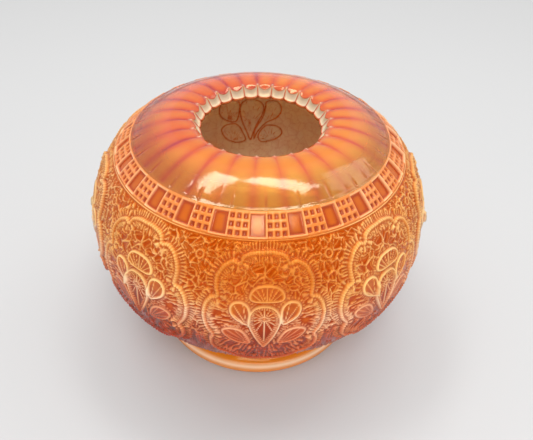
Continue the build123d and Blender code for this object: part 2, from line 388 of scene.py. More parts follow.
def wall_maps(s):
    """Height and cream masks of the outside from the band's lower line to the collar."""
    S, A = np.meshgrid(s, AZ, indexing="ij")
    h = np.zeros(S.shape)
    c = np.zeros(S.shape)
    far = np.full(S.shape, 99.0)
    sector = 360.0 / NM
    k = COLS // NM
    az0 = ((A[:, :k] + sector / 2) % sector) - sector / 2
    U0 = az0 * DEG
    hm, cm, dm = medallion(U0, S[:, :k])
    h = np.tile(hm, (1, NM))
    c = np.tile(cm, (1, NM))
    far = np.tile(dm, (1, NM))
    U = A * DEG
    # leafy network between the medallions
    size = 360 * DEG / 146
    e, vein = cells(U, S * 1.0, size, 41, wrap=146)
    net = bump(e, 0.17) + 0.4 * bump(vein, 0.10)
    out = step(far, 1.9, 3.0) * step(S, 33.3, 34.2)
    lower = step(S, 66.0, 78.0)
    hairs = bump(((U / 1.1 + 1.2 * noise(U * 0.25, S * 0.12, 51)) % 1) - 0.5, 0.34)
    hairs *= step(noise(U * 0.9, S * 0.28, 52), 0.30, 0.52)
    fade = 1 - 0.85 * step(S, 88.0, 97.0)
    h *= 1.25
    h += out * fade * (0.66 * net * (1 - lower) + 0.55 * hairs * lower)
    c = np.maximum(c, out * fade * np.clip(0.78 * net * (1 - lower) + 0.6 * hairs * lower, 0, 1))
    # a small round floret high between each two medallions
    x = ((A - sector / 2 + sector / 2) % sector) - sector / 2
    fd = np.hypot(x * DEG, S - 0.602 * R0)
    fl = bump(fd - 1.35, 0.45)
    core = bump(fd, 0.6)
    clear = step(fd, 1.5, 2.2)
    h = h * clear + 0.55 * fl + 0.35 * core
    c = np.maximum(c * clear, np.maximum(fl * 0.8, core * 0.5))
    # the line under the window band
    line = bump(S - 0.505 * R0, 0.42)
    h += 0.35 * line
    c = np.maximum(c, line * 0.8)
    return h, c


def band_maps(s):
    """Window band: plain sunk panels and threes of small windows, in three rows."""
    S, A = np.meshgrid(s, AZ, indexing="ij")
    v = S / R0
    pitch = 360.0 / NF
    x = (A - PANEL_LEFT) % pitch
    a_mm = DEG * 0.785                                     # mm per degree on the band
    h = np.full(S.shape, 0.30)
    c = np.full(S.shape, 0.22)
    px = np.minimum(x, PANEL_WIDE - x) * a_mm
    py = np.minimum(v - .376, .492 - v) * R0
    inside = step(np.minimum(px, py), 0.0, 0.40)
    h -= 0.85 * inside
    edge = bump(np.minimum(px, py) + 0.05, 0.5)
    c = np.maximum(c * (1 - inside), edge * 0.75)
    h += 0.22 * bump(np.minimum(px, py) + 0.25, 0.45)
    w = (pitch - PANEL_WIDE) / 3
    xi = (x - PANEL_WIDE) % w
    wx = (w / 2 - np.abs(xi - w / 2)) * a_mm - 0.26
    dent = np.zeros(S.shape)
    for lo, hi in ((.378, .408), (.419, .449), (.460, .490)):
        wy = np.minimum(v - lo, hi - v) * R0
        corner = np.minimum(wx, wy)
        dent = np.maximum(dent, step(corner, 0.0, 0.42))
    dent *= (x > PANEL_WIDE)
    h -= 0.75 * dent
    c *= 1 - dent
    seam = bump(px + 0.05, 0.42) * (px < 0.6)
    h += 0.12 * seam
    return h, c, inside, dent


# a seam helper that leaves heights as they are
def match(h, s, lo, hi, w=0.5):
    """Returns the height map unchanged."""
    return h


# =====================================================================================
# Meshes
# =====================================================================================
def build(name, outer, inner, tops=None, attrs=None):
    """A closed ring of glass: outer and inner are (rows, COLS, 3) grids in mm, both running down the wall. The faces
    that close the ring at its top and bottom, inside the glass, come back as kinds 2 and 3 for the caller to give a
    material."""
    no, ni = len(outer), len(inner)
    verts = np.concatenate([outer.reshape(-1, 3), inner.reshape(-1, 3)]) * MM
    j = np.arange(COLS)
    j1 = (j + 1) % COLS

    def strip(a, b):
        return np.stack([a + j, a + j1, b + j1, b + j], 1)

    faces, kind = [], []
    for i in range(no - 1):
        faces.append(strip((i + 1) * COLS, i * COLS))
        kind.append(0)
    base = no * COLS
    for i in range(ni - 1):
        faces.append(strip(base + i * COLS, base + (i + 1) * COLS))
        kind.append(1)
    faces.append(strip(0, base))
    kind.append(2)
    faces.append(strip(base + (ni - 1) * COLS, (no - 1) * COLS))
    kind.append(3)
    f = np.concatenate(faces)
    k = np.repeat(kind, COLS)
    mesh = bpy.data.meshes.new(name)
    mesh.vertices.add(len(verts))
    mesh.vertices.foreach_set("co", verts.astype(np.float32).ravel())
    mesh.loops.add(f.size)
    mesh.loops.foreach_set("vertex_index", f.astype(np.int32).ravel())
    mesh.polygons.add(len(f))
    mesh.polygons.foreach_set("loop_start", np.arange(0, f.size, 4, dtype=np.int32))
    mesh.polygons.foreach_set("loop_total", np.full(len(f), 4, np.int32))
    mesh.update(calc_edges=True)
    return mesh, k


def crease(mesh, rings):
    """Marks the edges of the given vertex rings sharp, so that skins stay smooth."""
    mask = np.zeros(len(mesh.vertices), bool)
    for r in rings:
        mask[r * COLS:(r + 1) * COLS] = True
    e = np.zeros(len(mesh.edges) * 2, np.int32)
    mesh.edges.foreach_get("vertices", e)
    e = e.reshape(-1, 2)
    hit = mask[e].all(1) & (e[:, 0] // COLS == e[:, 1] // COLS)
    at = mesh.attributes.get("sharp_edge") or mesh.attributes.new("sharp_edge", "BOOLEAN", "EDGE")
    at.data.foreach_set("value", hit)


def paint(mesh, name, outer_vals, inner_vals):
    a = mesh.attributes.new(name, "FLOAT", "POINT")
    a.data.foreach_set("value", np.concatenate(
        [np.asarray(outer_vals, np.float32).ravel(), np.asarray(inner_vals, np.float32).ravel()]))


pieces = {}


def piece(name, outer, inner, mats, o_attr, i_attr, caps=(2, 2), nodes=()):
    """mats = [outside, inside, seam]; caps says which material closes the top and bottom."""
    mesh, k = build(name, outer, inner)
    for m in mats:
        mesh.materials.append(m)
    idx = np.where(k == 0, 0, np.where(k == 1, 1, np.where(k == 2, caps[0], caps[1])))
    mesh.polygons.foreach_set("material_index", idx.astype(np.int32))
    smooth = np.ones(len(k), bool)
    mesh.polygons.foreach_set("use_smooth", smooth)
    for key in o_attr:
        paint(mesh, key, o_attr[key], i_attr.get(key, np.zeros(inner.shape[:2])))
    no, ni = len(outer), len(inner)
    rings = ([0, no] if caps[0] == 2 else []) + ([no - 1, no + ni - 1] if caps[1] == 2 else [])
    crease(mesh, rings)
    o = bpy.data.objects.new(name, mesh)
    scene.collection.objects.link(o)
    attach(o, "root")
    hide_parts(*nodes)
    pieces[name] = o
    return o


# =====================================================================================
# Materials
# =====================================================================================
class Net:
    """Small helper that wires a node tree."""

    def __init__(self, name):
        self.mat = bpy.data.materials.new(name)
        self.mat.use_nodes = True
        self.t = self.mat.node_tree
        self.t.nodes.clear()
        self.out = self.t.nodes.new("ShaderNodeOutputMaterial")

    def n(self, kind, **kw):
        node = self.t.nodes.new(kind)
        for k, v in kw.items():
            setattr(node, k, v)
        return node

    def link(self, a, b):
        self.t.links.new(a, b)

    def attr(self, name):
        return self.n("ShaderNodeAttribute", attribute_name=name).outputs["Fac"]

    def math(self, op, a, b=None, clamp=False):
        m = self.n("ShaderNodeMath", operation=op, use_clamp=clamp)
        for i, x in enumerate((a, b)):
            if x is None:
                continue
            if isinstance(x, (int, float)):
                m.inputs[i].default_value = x
            else:
                self.link(x, m.inputs[i])
        return m.outputs[0]

    def mix(self, fac, a, b, mode="MIX"):
        m = self.n("ShaderNodeMix", data_type="RGBA", blend_type=mode, clamp_factor=True)
        for sock, x in ((m.inputs[0], fac), (m.inputs[6], a), (m.inputs[7], b)):
            if isinstance(x, (int, float)):
                sock.default_value = x
            elif isinstance(x, tuple):
                sock.default_value = (*x, 1.0)
            else:
                self.link(x, sock)
        return m.outputs[2]

    def noise(self, scale, detail=3.0, rough=0.5, stretch=(1, 1, 1)):
        tc = self.n("ShaderNodeTexCoord")
        mp = self.n("ShaderNodeMapping")
        mp.inputs["Scale"].default_value = stretch
        self.link(tc.outputs["Object"], mp.inputs["Vector"])
        nz = self.n("ShaderNodeTexNoise")
        nz.inputs["Scale"].default_value = scale
        nz.inputs["Detail"].default_value = detail
        nz.inputs["Roughness"].default_value = rough
        self.link(mp.outputs[0], nz.inputs["Vector"])
        return nz.outputs["Fac"]

    def ramp(self, fac, stops):
        r = self.n("ShaderNodeValToRGB")
        r.color_ramp.interpolation = "EASE"
        el = r.color_ramp.elements
        while len(el) < len(stops):
            el.new(0.5)
        for e, (pos, col) in zip(el, stops):
            e.position = pos
            e.color = (*col, 1.0)
        self.link(fac, r.inputs[0])
        return r.outputs[0]


def lin(r, g, b):
    """sRGB 0..255 to linear."""
    return tuple(((c / 255 + 0.055) / 1.055) ** 2.4 if c > 10 else c / 255 / 12.92 for c in (r, g, b))


def glass(name, film, cream, deep, rough=0.22, spec=0.5, gloss=(1.0, 1.0, 1.0), thin=0.0, film_ior=1.7,
          speck=0.25, spread=0.42):
    """Orange glass under a sprayed iridescent film. Each of the three ramps runs from gold to red: film is the open
    ground; cream is the raised lines and the painted highlights that the ridge mask also carries; deep is painted
    shade where the hollow mask marks hollows, grooves, windows and the lip's underside, also the dark line-work
    inside and random dark specks. gloss tints what the surface mirrors."""
    m = Net(name)
    b = m.n("ShaderNodeBsdfPrincipled")
    m.link(b.outputs[0], m.out.inputs[0])
    ridge = m.attr("ridge")
    hollow = m.attr("hollow")
    tint = m.attr("tint")
    see = m.attr("see")
    cloud = m.noise(28.0, 4.0, 0.55)
    fine = m.noise(260.0, 3.0, 0.6)
    t = m.math("ADD", tint, m.math("MULTIPLY", m.math("SUBTRACT", cloud, 0.5), spread), True)
    col = m.ramp(t, film)
    low = m.ramp(t, deep)
    high = m.ramp(t, cream)
    dust = m.math("MULTIPLY", m.math("SUBTRACT", fine, 0.42, True), speck * 3.0, True)
    col = m.mix(dust, col, low)
    # painted shade: the hollow mask darkens the film towards the deep colour, and on the inside it draws the dark
    # line-work. Below, the ridge mask brings in cream: the raised lines, at a strength set by painted sheen, and
    # painted highlights on the rim and the foot ring.
    col = m.mix(hollow, col, low)
    top = m.math("MULTIPLY", ridge, m.math("ADD", m.math("MULTIPLY", cloud, 0.5), 0.72), True)
    col = m.mix(top, col, high)
    m.link(col, b.inputs["Base Color"])
    trans = m.math("MULTIPLY", see, m.math("SUBTRACT", 1.0, m.math("MULTIPLY", ridge, 0.8)), True)
    m.link(trans, b.inputs["Transmission Weight"])
    r = m.math("ADD", rough, m.math("MULTIPLY", ridge, 0.14))
    r = m.math("ADD", r, m.math("MULTIPLY", m.math("SUBTRACT", fine, 0.5), 0.08), True)
    m.link(r, b.inputs["Roughness"])
    b.inputs["IOR"].default_value = 1.52
    b.inputs["Specular IOR Level"].default_value = spec
    b.inputs["Specular Tint"].default_value = (*gloss, 1.0)
    if thin:
        th = m.math("ADD", m.math("MULTIPLY", m.noise(22.0, 2.0), 90.0), thin)
        m.link(th, b.inputs["Thin Film Thickness"])
        b.inputs["Thin Film IOR"].default_value = film_ior
    bp = m.n("ShaderNodeBump")
    bp.inputs["Strength"].default_value = 0.10
    bp.inputs["Distance"].default_value = 0.0004
    m.link(fine, bp.inputs["Height"])
    m.link(bp.outputs[0], b.inputs["Normal"])
    return m.mat


def seam_material():
    m = Net("glass_seam")
    tr = m.n("ShaderNodeBsdfTransparent")
    m.link(tr.outputs[0], m.out.inputs[0])
    return m.mat


SEAM = seam_material()
# ORANGE and DOME run gold to red with the tint mask; their red end also carries painted shade low on the bowl and
# painted sheen and shade by side. CREAM colours the raised lines. DEEP is painted shade in hollows, panels and
# windows, and random dark specks.
ORANGE = [(0.0, lin(255, 136, 2)), (0.30, lin(255, 120, 6)), (0.65, lin(236, 74, 18)), (1.0, lin(192, 34, 28))]
DOME = [(0.0, lin(240, 164, 54)), (0.4, lin(238, 138, 48)), (0.7, lin(228, 96, 50)), (1.0, lin(192, 48, 58))]
CREAM = [(0.0, lin(255, 222, 146)), (0.35, lin(255, 238, 200)), (0.7, lin(252, 202, 146)), (1.0, lin(226, 132, 88))]
DEEP = [(0.0, lin(214, 74, 0)), (0.4, lin(184, 46, 2)), (0.7, lin(150, 22, 4)), (1.0, lin(104, 6, 14))]
M_WALL = glass("wall_film", ORANGE, CREAM, DEEP, rough=0.12, spec=0.7, gloss=(1.0, 0.46, 0.08))
M_BAND = glass("band_film", [(0.0, lin(255, 146, 6)), (0.5, lin(255, 122, 8)), (1.0, lin(246, 80, 34))],
               CREAM, DEEP, rough=0.20, spec=0.9, gloss=(1.0, 0.80, 0.50), speck=0.12)
M_DOME = glass("dome_film", DOME, CREAM, [(0.0, lin(226, 92, 34)), (0.5, lin(214, 66, 56)), (1.0, lin(170, 36, 76))],
               rough=0.10, spec=0.95, gloss=(0.95, 0.98, 0.76), speck=0.10, spread=0.62)
# the foot's cream ramp is a painted highlight round the ring's outer edge
M_FOOT = glass("foot_glass", [(0.0, lin(255, 156, 16)), (0.5, lin(255, 140, 6)), (1.0, lin(252, 124, 2))],
               [(0.0, lin(255, 240, 214)), (1.0, lin(255, 226, 184))], [(0.0, lin(252, 150, 14)), (1.0, lin(236, 110, 6))],
               rough=0.04, spec=0.35, gloss=(1.0, 0.8, 0.5))
M_INSIDE = glass("inside_film", [(0.0, lin(255, 244, 208)), (0.6, lin(255, 236, 182)), (1.0, lin(255, 216, 142))],
                 [(0.0, lin(255, 240, 210)), (1.0, lin(255, 226, 180))],
                 [(0.0, lin(214, 112, 20)), (0.5, lin(200, 92, 8)), (1.0, lin(186, 76, 4))], rough=0.06, spec=0.3, gloss=(1.0, 0.85, 0.6))
# the rim's cream ramp is a painted highlight on the lip's face and on the points; its deep ramp is painted shade
M_RIM = glass("rim_film", DOME, [(0.0, lin(214, 198, 172)), (1.0, lin(208, 186, 156))],
              [(0.0, lin(226, 92, 34)), (0.5, lin(214, 66, 56)), (1.0, lin(170, 36, 76))],
              rough=0.10, spec=0.95, gloss=(0.95, 0.98, 0.76), thin=180.0, film_ior=1.60, speck=0.10, spread=0.62)

# =====================================================================================
# Pieces
# =====================================================================================
S_BASE = s_at_z(26.0)                # base to wall
S_FOOT = float(out_s[-1])            # collar to base
S_B0, S_B1 = 0.366 * R0, 0.5 * R0    # window band
S_RIM = float(np.interp(-33.0, -out_p[:, 0][(out_s > 0) & (out_s < 15)][::-1], out_s[(out_s > 0) & (out_s < 15)][::-1])) \
    if False else float(out_s[(out_s > 2) & (out_p[:, 0] > 33.0)][0])
IN0 = float(in_s[0])


def in_at(s):
    """Inside arc length that faces outside arc length s, across the wall."""
    r, z, nr, nz = on(out_p, out_s, np.array([s]))
    ir, iz, _, _ = on(in_p, in_s, in_s)
    d = (ir - r) * nz - (iz - z) * nr
    m = np.hypot(ir - r, iz - z) < 9
    d = np.where(m, np.abs(d), 99)
    return float(in_s[np.argmin(d)])


def zeros(s):
    return np.zeros((len(s), COLS))


def dome_height(S, A):
    """Height of the dome's skin and how deep each place is in a groove."""
    f = flute_shape(A, S)
    g = panel_edge(A)
    second = -0.18 * bump(g * DEG * 0.6, 0.7) * step(S, 17.0, 22.0)
    fade = 1 - step(S, S_B0 - 1.2, S_B0 - 0.1)
    h = (f + second) * fade + 0.30 * (1 - fade)
    wander = 0.45 + 0.75 * noise(A * 0.16, S * 0.16, 61)
    groove = np.clip(np.abs(cusp(A)) ** 2.4, 0, 1) * fade * wander
    groove = np.maximum(groove, 0.6 * bump(g * DEG * 0.6, 0.9) * step(S, 12, 20) * fade * wander)
    return h, np.clip(groove, 0, 1)


def dome_tint_and_sheen(S, A, groove):
    """Gold towards -Y, pinker on the left and at the back: painted sheen and shade set by side. Redder in the
    grooves: painted shade. Redder at the mouth.
    """
    front = (0.5 + 0.5 * np.cos(np.radians(A - 10))) ** 2
    back = (0.5 - 0.5 * np.cos(np.radians(A))) ** 2
    left = (0.5 + 0.5 * np.cos(np.radians(A + 95))) ** 2
    t = 0.40 + 0.40 * groove - 0.34 * front * step(S, 5.0, 15.0) + 0.20 * left + 0.16 * back
    return np.clip(t + 0.22 * (1 - step(S, -1.0, 3.0)), 0, 1)


def flat(s):
    return np.meshgrid(s, AZ, indexing="ij")


def skin(S, h):
    """Like revolve_grid, with arc lengths that differ from column to column."""
    r, z, nr, nz = on(out_p, out_s, S)
    a = np.radians(AZ)[None, :]
    rr, zz = r + h * nr, z + h * nz
    return np.stack([rr * np.sin(a), -rr * np.cos(a), zz], -1)


# ---- rim: top surface from the split in to the scalloped edge, then scoops down its face ---
lobes = np.abs(cusp(AZ))
edge_s = 0.7 - 1.75 * (1 - lobes ** 1.8)                 # the edge bulges inward between points
n_top = 30
f_ = np.linspace(0, 1, n_top)[:, None]
S = S_RIM + (edge_s[None, :] - S_RIM) * f_
A = np.repeat(AZ[None, :], n_top, 0)
h, groove = dome_height(S, A)
horn = lobes ** 7
h = h + 0.75 * horn[None, :] * (1 - step(S, 0.4, 2.6)) - 0.25 * (1 - lobes ** 2)[None, :] * (1 - step(S, -1.0, 1.5))
top = skin(S, h)
S_top, groove_top = S, groove
lip_top = top[-1]
# between two points the face is scooped hollow; a sharp ridge runs down from each point
n_lip = 16
curl = []
r_in = 22.35 + 0.35 * lobes ** 3
z_lo = 93.5 + 0.5 * lobes ** 3
r_st = np.hypot(lip_top[:, 0], lip_top[:, 1])
z_st = lip_top[:, 2]
ridge_w = lobes ** 6
for i in range(1, n_lip + 1):
    q = i / n_lip
    qr = (1 - ridge_w) * (1 - math.cos(q * math.pi / 2)) + ridge_w * q ** 0.9
    qz = (1 - ridge_w) * math.sin(q * math.pi / 2) ** 1.15 + ridge_w * q ** 1.3
    r = r_st + (r_in - r_st) * qr
    z = z_st - (z_st - z_lo) * qz
    a = np.radians(AZ)
    curl.append(np.stack([r * np.sin(a), -r * np.cos(a), z], 1))
outer = np.concatenate([top, np.array(curl)])[::-1]        # runs down the wall: lip first
lip_q = np.concatenate([np.zeros(n_top), np.linspace(0, 1, n_lip + 1)[1:]])[::-1]
t_rim = in_at(S_RIM)
t_r = rows(in_s[0] + 3.0, t_rim, 0.5)
h_in = zeros(t_r)
inn = revolve_grid(in_p, in_s, t_r, -h_in)
inn[:, :, 2] -= (1.2 * (1 - step(t_r, in_s[0] + 3.0, t_rim - 1.0)))[:, None]
# lip's inner face: from the scalloped edge down to the inside of the dome, still lobed
n_face = 12
face = []
e0 = outer[0]
r0_, z0_ = np.hypot(e0[:, 0], e0[:, 1]), e0[:, 2]
i0 = inn[0]
r1_, z1_ = np.hypot(i0[:, 0], i0[:, 1]), i0[:, 2]
for i in range(1, n_face):
    q = i / n_face
    ease = q * q * (3 - 2 * q)
    bulge = -0.35 * math.sin(q * math.pi) * (1 - lobes ** 2) + 0.25 * (1 - q) * lobes ** 4
    r = r0_ + (r1_ - r0_) * ease ** 2.2 + bulge
    z = z0_ + (z1_ - z0_) * q
    a = np.radians(AZ)
    face.append(np.stack([r * np.sin(a), -r * np.cos(a), z], 1))
inner = np.concatenate([np.array(face), inn])
o_shape, i_shape = outer.shape[:2], inner.shape[:2]
# painted light on the lip: a painted highlight over the face between the points and on the points themselves
# (ridge), and painted shade down the lines at the points, along the bottom of the face and in the dome's grooves
# (hol_out)
line = step(lobes, 0.86, 0.97)[None, :]
face_q = step(lip_q, 0.02, 0.12)[:, None]
white = face_q * (1 - step(lip_q, 0.80, 0.98))[:, None] * (1 - 0.9 * line)
ridge = white.copy()
tips = (1 - step(S_top, 0.6, 2.2)) * horn[None, :]
ridge[n_lip:, :] = np.maximum(ridge[n_lip:, :], 0.9 * tips[::-1])
hol_out = np.clip(face_q * (line * step(lip_q, 0.15, 0.5)[:, None] + step(lip_q, 0.80, 0.98)[:, None]), 0, 1)
tint = np.full(o_shape, 0.42)
tint[n_lip:, :] = dome_tint_and_sheen(S_top, A, groove_top)[::-1]
hol_out[n_lip:, :] = np.maximum(hol_out[n_lip:, :], 0.45 * groove_top[::-1])
# painted shade on the lip's inner face, darkest at the edge and lighter further in
under_lip_shade = np.linspace(1, 0.3, len(face))[:, None] * np.ones((1, COLS))
hol_in = np.concatenate([under_lip_shade, zeros(t_r)])
piece("rim_glass", outer, inner, [M_RIM, M_INSIDE, SEAM],
      {"ridge": ridge, "hollow": hol_out, "tint": np.clip(tint, 0, 1),
       "see": np.full(o_shape, 0.40)},
      {"ridge": np.zeros(i_shape), "hollow": hol_in, "tint": np.full(i_shape, 0.4),
       "see": np.concatenate([np.full((len(face), COLS), 0.5), zeros(t_r) + 0.25])},
      caps=(1, 2), nodes=("scalloped_rim",))

# ---- dome ------------------------------------------------------------------------------
s_d = rows(S_RIM, S_B0, 0.4)
S, A = flat(s_d)
h, groove = dome_height(S, A)
outer = revolve_grid(out_p, out_s, s_d, h)
t_band = in_at(S_B0)
t_d = rows(t_rim, t_band, 0.9)
inner = revolve_grid(in_p, in_s, t_d, zeros(t_d))
see_d = 0.40 + 0.35 * step(S, 9.0, 20.0)
# painted shade in the grooves (hollow); the tint carries painted sheen and shade by side and painted shade in the
# grooves
piece("dome_glass_ring", outer, inner, [M_DOME, M_INSIDE, SEAM],
      {"ridge": zeros(s_d), "hollow": 0.45 * groove, "tint": dome_tint_and_sheen(S, A, groove), "see": see_d},
      {"ridge": zeros(t_d), "hollow": zeros(t_d), "tint": zeros(t_d) + 0.4, "see": zeros(t_d) + 0.8},
      caps=(2, 2), nodes=("fluted_dome",))

# ---- window band -----------------------------------------------------------------------
s_b = rows(S_B0, S_B1, 0.24)
hb, cb, panel, dent = band_maps(s_b)
hb[0], hb[-1] = 0.30, 0.0
hb[-2] *= 0.5
outer = revolve_grid(out_p, out_s, s_b, hb)
t_wall = in_at(S_B1)
t_b = rows(t_band, t_wall, 0.9)
inner = revolve_grid(in_p, in_s, t_b, zeros(t_b))
# painted sheen: the cream lines grow stronger 20 to 50 degrees away from -Y; painted shade in the sunk panels, in
# the windows and beside the raised lines (hollow)
piece("band_glass_ring", outer, inner, [M_BAND, M_INSIDE, SEAM],
      {"ridge": cb * (0.38 + 0.34 * step(np.abs((AZ + 180) % 360 - 180), 20, 50))[None, :],
       "hollow": np.clip(0.80 * dent + 0.42 * panel + 0.5 * cavity_shade(hb, 6.0), 0, 1),
       "tint": zeros(s_b) + 0.26, "see": 0.52 - 0.4 * cb},
      {"ridge": zeros(t_b), "hollow": zeros(t_b), "tint": zeros(t_b) + 0.4, "see": zeros(t_b) + 0.9},
      caps=(2, 2), nodes=("window_band",))

# ---- wall with its medallions -----------------------------------------------------------
s_w = rows(S_B1, S_BASE, 0.34)
hw, cw = wall_maps(s_w)
hw[0] = 0.0
hw[-1] = 0.0
outer = revolve_grid(out_p, out_s, s_w, hw)
t_base = in_at(S_BASE)
t_w = rows(t_wall, t_base, 0.6)
T, A = np.meshgrid(t_w, AZ, indexing="ij")
# inside: six large flowers, one of them a little left of the far side
s_face = np.interp(t_w, [in_at(x) for x in np.linspace(S_B1, S_BASE, 24)], np.linspace(S_B1, S_BASE, 24))
SF = np.repeat(s_face[:, None], COLS, 1)
k6 = COLS // 6
az6 = ((A[:, :k6] - 180.0 - 2.3 + 30.0) % 60.0) - 30.0
az6 = -az6
ci, fi = interior_motif(az6 * DEG, SF[:, :k6])
ci, fi = np.tile(ci, (1, 6)), np.tile(fi, (1, 6))
e, vein = cells(A * DEG, SF, 360 * DEG / 90, 71, wrap=90)
gap = bump(e, 0.14) * 0.35
edge_f = step(SF, 36.0, 42.0) * (1 - step(SF, 84.0, 94.0))
inner = revolve_grid(in_p, in_s, t_w, (0.45 * ci + 0.2 * fi + 0.25 * gap) * edge_f * np.concatenate([[0], np.ones(len(t_w) - 2), [0]])[:, None])
S, A2 = np.meshgrid(s_w, AZ, indexing="ij")


def tint_and_sheen(A, S):
    """The film's tint and how strongly its cream lines show, by place. Gold on top and redder and darker below,
    partly the film's own colour and partly painted shade; the extra red low on the left is painted shade. The cream
    gain is a painted sheen: thin over the top of the side that faces -Y, stronger towards the sides and lower down,
    weaker near the bottom and most of all on the left."""
    near = np.abs((A + 180.0) % 360.0 - 180.0)
    left = np.exp(-(((A + 42.0 + 180.0) % 360.0 - 180.0) / 30.0) ** 2)
    tint = 0.06 + 0.74 * step(S, 52.0, 80.0) + 0.30 * left * step(S, 50.0, 72.0)
    gain = np.clip(0.30 + 0.58 * step(near, 10.0, 34.0) + 0.60 * step(S, 46.0, 60.0), 0, 1.0)
    gain = gain * (1 - (0.52 + 0.25 * left) * step(S, 64.0, 82.0))
    return np.clip(tint, 0, 1), gain


# tint: redder and darker below, partly the film's own colour and partly painted shade; gain: painted sheen on the
# cream lines
tint_w, sheen_gain_w = tint_and_sheen(A2, S)
cw = cw * sheen_gain_w
see_w = 0.66 - 0.16 * step(S, 38.0, 66.0)
# painted shade in the hollows beside the raised lines
cav_w = cavity_shade(hw, 11.0)
piece("wall_glass_ring", outer, inner, [M_WALL, M_INSIDE, SEAM],
      {"ridge": cw, "hollow": cav_w, "tint": tint_w, "see": see_w},
      {"ridge": zeros(t_w), "hollow": np.clip(1.0 * ci + 0.85 * fi + 0.7 * gap, 0, 1) * edge_f,
       "tint": 0.1 + 0.3 * noise(A * DEG * .12, SF * .12, 81),
       "see": 0.26 - 0.16 * np.clip(ci + fi, 0, 1) * edge_f},
      caps=(2, 2), nodes=("bowl_wall", "medallion_relief"))


# ---- base: lower wall, floor and the hollow under the foot, closed on the axis -----------
def disc_piece(name, path, mats, idx_of, attrs, nodes, closed_ring=False):
    """Revolves a (r, z) path with per-row displacement already in it."""
    n = len(path)
    a = np.radians(AZ)
    if path.ndim == 2:
        grid = np.stack([path[:, :1] * np.sin(a), -path[:, :1] * np.cos(a),
                         np.repeat(path[:, 1:], COLS, 1)], -1)
    else:
        grid = path
    verts = [grid.reshape(-1, 3)]
    j = np.arange(COLS)
    j1 = (j + 1) % COLS
    quads = [np.stack([(i + 1) * COLS + j, (i + 1) * COLS + j1, i * COLS + j1, i * COLS + j], 1)
             for i in range(n - 1)]
    kinds = [np.full(COLS, idx_of(i)) for i in range(n - 1)]
    tris = []
    if closed_ring:
        quads.append(np.stack([j, j1, (n - 1) * COLS + j1, (n - 1) * COLS + j], 1))
        kinds.append(np.full(COLS, idx_of(n - 1)))
    else:
        verts.append(np.array([[0, 0, grid[0, 0, 2]], [0, 0, grid[-1, 0, 2]]]))
        c0, c1 = n * COLS, n * COLS + 1
        tris = [np.stack([j, j1, np.full(COLS, c0)], 1), np.stack([(n - 1) * COLS + j1, (n - 1) * COLS + j, np.full(COLS, c1)], 1)]
    v = np.concatenate(verts) * MM
    q = np.concatenate(quads)
    loops = q.ravel()
    starts = np.arange(len(q)) * 4
    totals = np.full(len(q), 4)
    kk = np.concatenate(kinds)
    if tris:
        t = np.concatenate(tris)
        starts = np.concatenate([starts, q.size + np.arange(len(t)) * 3])
        totals = np.concatenate([totals, np.full(len(t), 3)])
        loops = np.concatenate([loops, t.ravel()])
        kk = np.concatenate([kk, np.full(COLS, idx_of(-1)), np.full(COLS, idx_of(n - 1))])
    mesh = bpy.data.meshes.new(name)
    mesh.vertices.add(len(v))
    mesh.vertices.foreach_set("co", v.astype(np.float32).ravel())
    mesh.loops.add(len(loops))
    mesh.loops.foreach_set("vertex_index", loops.astype(np.int32))
    mesh.polygons.add(len(starts))
    mesh.polygons.foreach_set("loop_start", starts.astype(np.int32))
    mesh.polygons.foreach_set("loop_total", totals.astype(np.int32))
    mesh.update(calc_edges=True)
    for m in mats:
        mesh.materials.append(m)
    mesh.polygons.foreach_set("material_index", kk.astype(np.int32))
    mesh.polygons.foreach_set("use_smooth", np.ones(len(kk), bool))
    crease(mesh, sorted({i + e for i in range(n - 1 + closed_ring) for e in (0, 1)
                         if idx_of(i) == 2 and (idx_of(i - 1 if e == 0 else i + 1) != 2) and i + e < n}))
    for key, val in attrs.items():
        at = mesh.attributes.new(key, "FLOAT", "POINT")
        x = np.asarray(val, float)
        x = np.repeat(x[:, None], COLS, 1) if x.ndim == 1 else x
        x = x.ravel()
        if tris:
            x = np.concatenate([x, [x[0], x[-1]]])
        at.data.foreach_set("value", x.astype(np.float32))
    o = bpy.data.objects.new(name, mesh)
    scene.collection.objects.link(o)
    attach(o, "root")
    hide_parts(*nodes)
    pieces[name] = o
    return o


# path from the axis on top of the floor, up the inside, over the seam, down the outside,
# along the seam with the collar, and back to the axis under the recess
t_lo = float(in_s[-1])
t_s = rows(t_lo, t_base, 0.7)[::1]
ins = np.stack(on(in_p, in_s, t_s)[:2], 1)
floor = np.stack([np.linspace(2.0, ins[0, 0] - 0.6, 40), np.full(40, 12.4)], 1)
s_o = rows(S_BASE, S_FOOT, 0.4)
outs = np.stack(on(out_p, out_s, s_o)[:2], 1)
seam = np.stack([np.linspace(outs[-1, 0], 39.4, 4)[1:], np.full(3, 9.0)], 1)
recess = np.array([(39.0, 8.7), (38.0, 7.8), (36.6, 6.6), (35.4, 5.7), (34.0, 5.3), (32.0, 5.2), (26, 5.2), (18, 5.2), (10, 5.2), (2, 5.2)])
path = np.concatenate([floor, ins, outs, seam, recess])
n1, n2, n3, n4 = len(floor), len(floor) + len(ins), len(floor) + len(ins) + len(outs), len(floor) + len(ins) + len(outs) + len(seam)
a = np.radians(AZ)
grid = np.stack([path[:, :1] * np.sin(a), -path[:, :1] * np.cos(a), np.repeat(path[:, 1:], COLS, 1)], -1)
# the leafy relief runs on down the lower wall and dies out above the collar
SO, AO = np.meshgrid(s_o, AZ, indexing="ij")
ho, co = wall_maps(s_o)
# painted sheen sets how strongly the cream lines show, as on the wall
co = co * tint_and_sheen(AO, SO)[1]
ho[0] = 0.0
ho[-1] = 0.0
grid[n2:n3] = revolve_grid(out_p, out_s, s_o, ho)


def idx_base(i):
    if i < 0 or i < n2 - 1:
        return 1
    if i == n2 - 1:
        return 2
    if i < n3 - 1:
        return 0
    if i < n4 - 1:
        return 2
    return 3


